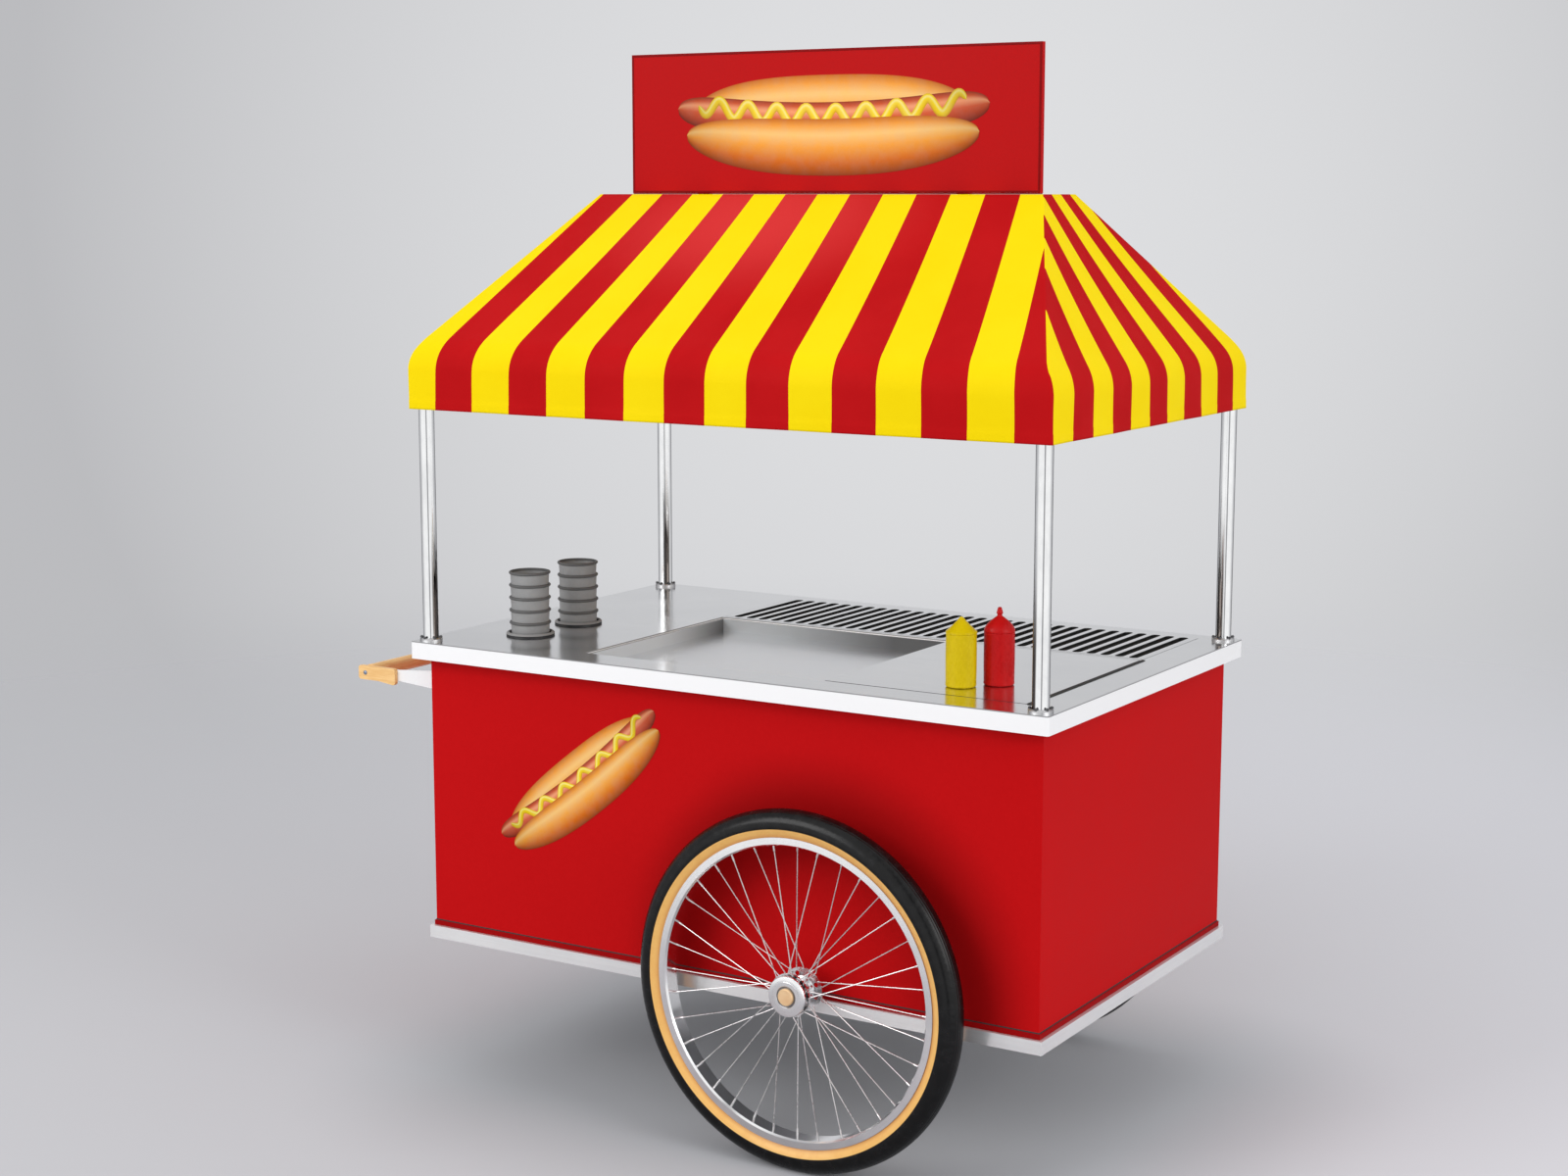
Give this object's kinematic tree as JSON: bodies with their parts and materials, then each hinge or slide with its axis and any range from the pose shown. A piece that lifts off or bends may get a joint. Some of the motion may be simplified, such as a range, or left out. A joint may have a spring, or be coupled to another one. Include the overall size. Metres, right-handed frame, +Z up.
{
  "type": "hot dog cart",
  "caption": "Two-wheeled street food cart: red cabinet, steel worktop with sunk well and slotted grill, striped hip canopy on poles, sign board, push handle and drop leg.",
  "frame": {"origin": "middle of the whole object's box, on the floor", "axes": "+X along the cart away from the push handle, -Y towards the customer, +Z up"},
  "size_m": [1.62, 1.0596, 2.111],
  "materials": {
    "stainless": "polished stainless sheet",
    "base_steel": "polished stainless channel",
    "red_paint": "gloss red enamel",
    "sign_red": "red plastic sign board",
    "alloy": "plain aluminium bar",
    "inner_steel": "plain galvanised steel",
    "chrome": "bright plated",
    "bright_steel": "turned steel",
    "bearing_steel": "dark sealed bearing",
    "brass": "warm brass",
    "tyre": "black rubber with a tan sidewall",
    "black_rubber": "matte rubber",
    "knob_plastic": "black moulded knob",
    "cup_grey": "matte grey",
    "mustard_plastic": "soft gloss yellow",
    "ketchup_plastic": "soft gloss red",
    "striped_cloth": "red and yellow striped awning cloth",
    "white_paint": "white enamel",
    "wood": "clear varnished"
  },
  "bodies": {
    "cart": {"axle": "bright_steel", "axle_blocks": "inner_steel", "axle_caps": "brass", "back_left_pole": "chrome", "back_panel": "red_paint", "back_right_pole": "chrome", "base_frame": "base_steel", "burners": "inner_steel", "cabinet_floor": "inner_steel", "canopy_cloth": "striped_cloth", "corner_posts": "inner_steel", "cup_gaskets": "black_rubber", "cup_wells": "stainless", "door_hinges": "bright_steel", "eave_frame": "alloy", "front_left_pole": "chrome", "front_panel": "red_paint", "front_right_pole": "chrome", "gas_manifold": "brass", "grill_box": "stainless", "handle_arms": "white_paint", "handle_bar": "wood", "handle_cheeks": "wood", "left_panel": "red_paint", "leg_bracket": "inner_steel", "leg_pin": "bright_steel", "pole_flanges": "chrome", "rafters": "alloy", "right_panel": "red_paint", "sign_board": "sign_red", "sign_posts": "inner_steel", "top_frame": "alloy", "well_pan": "stainless", "worktop": "stainless"},
    "front_wheel": {"front_wheel_bearings": "bearing_steel", "front_wheel_hub": "chrome", "front_wheel_rim": "chrome", "front_wheel_spokes": "chrome", "front_wheel_tyre": "tyre"},
    "back_wheel": {"back_wheel_bearings": "bearing_steel", "back_wheel_hub": "chrome", "back_wheel_rim": "chrome", "back_wheel_spokes": "chrome", "back_wheel_tyre": "tyre"},
    "door_leaf": {"door": "red_paint", "hinge_sockets": "bright_steel", "door_pull": "chrome"},
    "lid": {"well_lid": "stainless"},
    "grill": {"grill_plate": "stainless"},
    "front_cup_stack": {"front_cups": "cup_grey"},
    "rear_cup_stack": {"rear_cups": "cup_grey"},
    "mustard": {"yellow_bottle": "mustard_plastic", "yellow_cap": "mustard_plastic"},
    "ketchup": {"red_bottle": "ketchup_plastic", "red_cap": "ketchup_plastic"},
    "left_tap": {"left_knob": "knob_plastic"},
    "right_tap": {"right_knob": "knob_plastic"},
    "leg": {"drop_leg": "inner_steel", "leg_foot": "black_rubber"}
  },
  "joints": [
    {"name": "front_wheel_spin", "type": "hinge", "parent": "cart", "child": "front_wheel", "pos_m": [0.314, -0.487, 0.35], "axis": [0, 1, 0], "continuous": true},
    {"name": "back_wheel_spin", "type": "hinge", "parent": "cart", "child": "back_wheel", "pos_m": [0.314, 0.487, 0.35], "axis": [0, 1, 0], "continuous": true},
    {"name": "door_swing", "type": "hinge", "parent": "cart", "child": "door_leaf", "pos_m": [-0.582, 0.4305, 0.5435], "axis": [0, 0, 1], "range_deg": [0, 110]},
    {"name": "lid_slide", "type": "slide", "parent": "cart", "child": "lid", "axis": [-1, 0, 0], "range_m": [0, 0.55]},
    {"name": "grill_lift", "type": "slide", "parent": "cart", "child": "grill", "axis": [0, 0, 1], "range_m": [0, 0.2]},
    {"name": "front_cups_lift", "type": "slide", "parent": "cart", "child": "front_cup_stack", "axis": [0, 0, 1], "range_m": [0, 0.2]},
    {"name": "rear_cups_lift", "type": "slide", "parent": "cart", "child": "rear_cup_stack", "axis": [0, 0, 1], "range_m": [0, 0.2]},
    {"name": "mustard_lift", "type": "slide", "parent": "lid", "child": "mustard", "axis": [0, 0, 1], "range_m": [0, 0.2]},
    {"name": "ketchup_lift", "type": "slide", "parent": "lid", "child": "ketchup", "axis": [0, 0, 1], "range_m": [0, 0.2]},
    {"name": "left_tap_turn", "type": "hinge", "parent": "cart", "child": "left_tap", "pos_m": [-0.0035, 0.424, 0.796], "axis": [0, 1, 0], "range_deg": [0, 200]},
    {"name": "right_tap_turn", "type": "hinge", "parent": "cart", "child": "right_tap", "pos_m": [0.4855, 0.424, 0.796], "axis": [0, 1, 0], "range_deg": [0, 200]},
    {"name": "leg_fold", "type": "hinge", "parent": "cart", "child": "leg", "pos_m": [-0.532, 0.396, 0.268], "axis": [0, -1, 0], "range_deg": [0, 90]}
  ]
}
